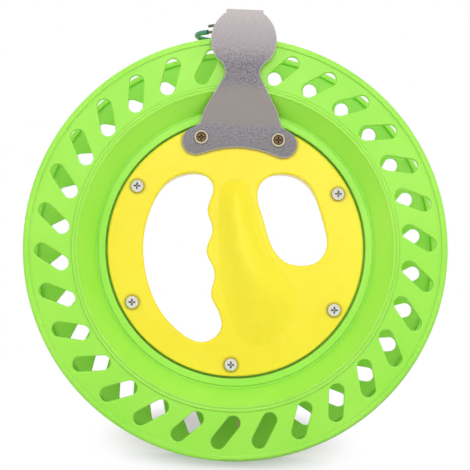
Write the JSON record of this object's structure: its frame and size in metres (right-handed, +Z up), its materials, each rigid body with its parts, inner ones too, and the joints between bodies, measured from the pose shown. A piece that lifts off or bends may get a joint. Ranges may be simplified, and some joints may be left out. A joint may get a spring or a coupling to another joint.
{
  "type": "kite line winder",
  "caption": "Hand-held kite line winder: a slotted spool on ball bearings round a moulded grip, with a bent guard plate, a wire line guide and a crank knob.",
  "frame": {"origin": "centre of the wheel, in the middle of the grip bar", "axes": "+Y along the wheel's axis from the guard plate's side to the knob's side, +Z up through the line guide, +X to the right seen from the guard plate's side"},
  "size_m": [0.205, 0.0877, 0.2175],
  "materials": {
    "green_plastic": "glossy moulded plastic",
    "yellow_plastic": "glossy moulded plastic",
    "zinc_steel": "zinc plated",
    "yellow_zinc": "yellow zinc plated",
    "brass": "turned brass",
    "aluminium": "tumbled sheet",
    "guide_steel": "drawn wire",
    "green_sleeve": "plastic tubing",
    "bearing_steel": "ground steel"
  },
  "bodies": {
    "grip": {"grip_front_half": "yellow_plastic", "grip_rear_half": "yellow_plastic", "grip_screws": "zinc_steel", "grip_nuts": "zinc_steel", "guard_screws": "yellow_zinc", "guard_plate": "aluminium", "bearing_inner_rings": "bearing_steel", "bearing_balls": "bearing_steel", "guide_wire": "guide_steel", "guide_sleeve": "green_sleeve", "guide_screw": "zinc_steel", "guide_spacer": "aluminium", "guide_washers": "zinc_steel", "guide_nut": "zinc_steel"},
    "spool": {"spool_front_hub": "green_plastic", "spool_front_flange": "green_plastic", "spool_rear_hub": "green_plastic", "spool_rear_flange": "green_plastic", "spool_screws": "zinc_steel", "knob_insert": "brass", "knob_bolt": "zinc_steel", "knob_washer": "zinc_steel"},
    "knob": {"crank_knob": "yellow_plastic", "knob_cap": "yellow_plastic"},
    "bearing_1": {"bearing_ring_1": "bearing_steel", "bearing_shields_1": "bearing_steel"},
    "bearing_2": {"bearing_ring_2": "bearing_steel", "bearing_shields_2": "bearing_steel"},
    "bearing_3": {"bearing_ring_3": "bearing_steel", "bearing_shields_3": "bearing_steel"},
    "bearing_4": {"bearing_ring_4": "bearing_steel", "bearing_shields_4": "bearing_steel"},
    "bearing_5": {"bearing_ring_5": "bearing_steel", "bearing_shields_5": "bearing_steel"},
    "bearing_6": {"bearing_ring_6": "bearing_steel", "bearing_shields_6": "bearing_steel"},
    "bearing_7": {"bearing_ring_7": "bearing_steel", "bearing_shields_7": "bearing_steel"}
  },
  "joints": [
    {"name": "spool_spin", "type": "hinge", "parent": "grip", "child": "spool", "pos_m": [0, 0, 0], "axis": [0, 1, 0], "continuous": true},
    {"name": "knob_spin", "type": "hinge", "parent": "spool", "child": "knob", "pos_m": [0.00804, 0.043, -0.08663], "axis": [0, 1, 0], "continuous": true},
    {"name": "bearing_1_spin", "type": "hinge", "parent": "grip", "child": "bearing_1", "pos_m": [0.04798, 0, 0.0277], "axis": [0, 1, 0], "continuous": true},
    {"name": "bearing_2_spin", "type": "hinge", "parent": "grip", "child": "bearing_2", "pos_m": [-0.04798, 0, 0.0277], "axis": [0, 1, 0], "continuous": true},
    {"name": "bearing_3_spin", "type": "hinge", "parent": "grip", "child": "bearing_3", "pos_m": [-0.04798, 0, -0.0277], "axis": [0, 1, 0], "continuous": true},
    {"name": "bearing_4_spin", "type": "hinge", "parent": "grip", "child": "bearing_4", "pos_m": [0, 0, -0.0554], "axis": [0, 1, 0], "continuous": true},
    {"name": "bearing_5_spin", "type": "hinge", "parent": "grip", "child": "bearing_5", "pos_m": [0.04798, 0, -0.0277], "axis": [0, 1, 0], "continuous": true},
    {"name": "bearing_6_spin", "type": "hinge", "parent": "grip", "child": "bearing_6", "pos_m": [0.0184, 0, 0.05226], "axis": [0, 1, 0], "continuous": true},
    {"name": "bearing_7_spin", "type": "hinge", "parent": "grip", "child": "bearing_7", "pos_m": [-0.0184, 0, 0.05226], "axis": [0, 1, 0], "continuous": true}
  ],
  "couplings": [
    {"joint": "bearing_1_spin", "follows": "spool_spin", "ratio": 14.875},
    {"joint": "bearing_2_spin", "follows": "spool_spin", "ratio": 14.875},
    {"joint": "bearing_3_spin", "follows": "spool_spin", "ratio": 14.875},
    {"joint": "bearing_4_spin", "follows": "spool_spin", "ratio": 14.875},
    {"joint": "bearing_5_spin", "follows": "spool_spin", "ratio": 14.875},
    {"joint": "bearing_6_spin", "follows": "spool_spin", "ratio": 14.875},
    {"joint": "bearing_7_spin", "follows": "spool_spin", "ratio": 14.875}
  ]
}
